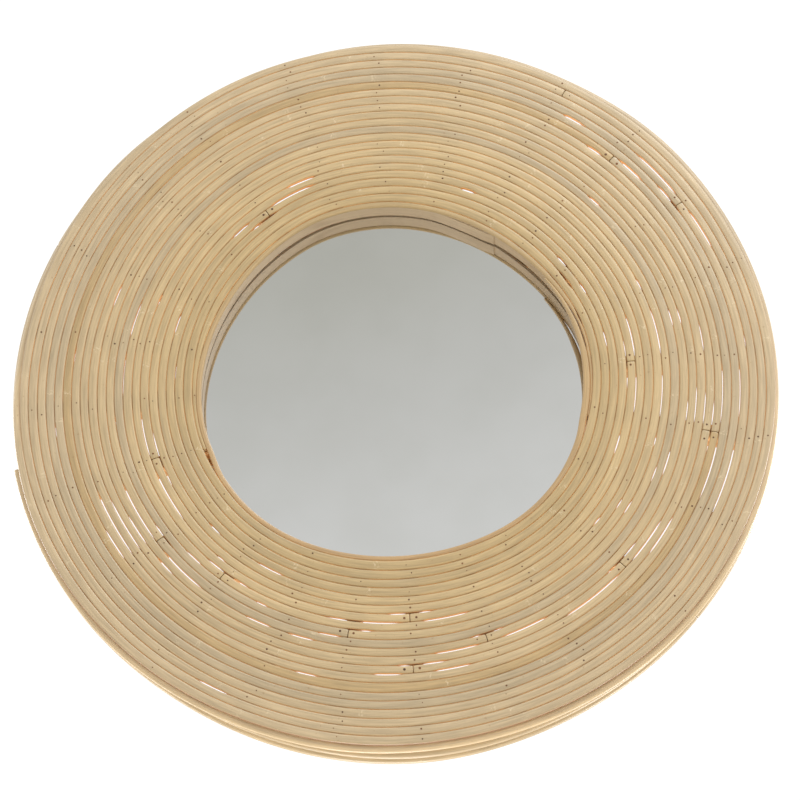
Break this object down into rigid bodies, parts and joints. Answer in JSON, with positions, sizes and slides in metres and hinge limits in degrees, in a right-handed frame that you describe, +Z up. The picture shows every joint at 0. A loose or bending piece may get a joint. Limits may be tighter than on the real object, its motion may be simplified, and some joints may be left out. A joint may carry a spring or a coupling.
{
  "type": "round rattan wall mirror",
  "caption": "Round wall mirror: a flat disc of mirror glass in a wide frame of rattan canes wound as one spiral and nailed to radial wooden ribs, hung from a bar at the back.",
  "frame": {"origin": "middle of the hanging bar's back face, where the mirror is held against the wall", "axes": "+Z up, +Y back into the wall, so the mirror faces -Y; +X to the right as seen from the front"},
  "size_m": [0.8033, 0.0394, 0.8059],
  "materials": {
    "rattan": "satin natural rattan cane",
    "bent_strip": "dull grey-brown bent strip",
    "rib_wood": "rough sawn wood",
    "mirror": "silvered mirror glass",
    "board": "plain plywood"
  },
  "bodies": {
    "root": {"cane_01": "rattan", "cane_02": "rattan", "cane_03": "rattan", "cane_04": "rattan", "cane_05": "rattan", "cane_06": "rattan", "cane_07": "rattan", "cane_08": "rattan", "cane_09": "rattan", "cane_10": "rattan", "cane_11": "rattan", "cane_12": "rattan", "cane_13": "rattan", "cane_14": "rattan", "cane_15": "rattan", "cane_16": "rattan", "edging_cane": "rattan", "rim_cane_middle": "rattan", "rim_cane_back": "rattan", "inner_hoop": "bent_strip", "rib_01": "rib_wood", "rib_02": "rib_wood", "rib_03": "rib_wood", "rib_04": "rib_wood", "rib_05": "rib_wood", "rib_06": "rib_wood", "rib_07": "rib_wood", "rib_08": "rib_wood", "rib_09": "rib_wood", "rib_10": "rib_wood", "rib_11": "rib_wood", "rib_12": "rib_wood", "rib_13": "rib_wood", "rib_14": "rib_wood", "rib_15": "rib_wood", "rib_16": "rib_wood", "rib_17": "rib_wood", "rib_18": "rib_wood", "rib_19": "rib_wood", "rib_20": "rib_wood", "rib_21": "rib_wood", "rib_22": "rib_wood", "rib_23": "rib_wood", "rib_24": "rib_wood", "mirror_glass": "mirror", "backing_board": "board", "hanging_bar": "board"}
  },
  "joints": []
}
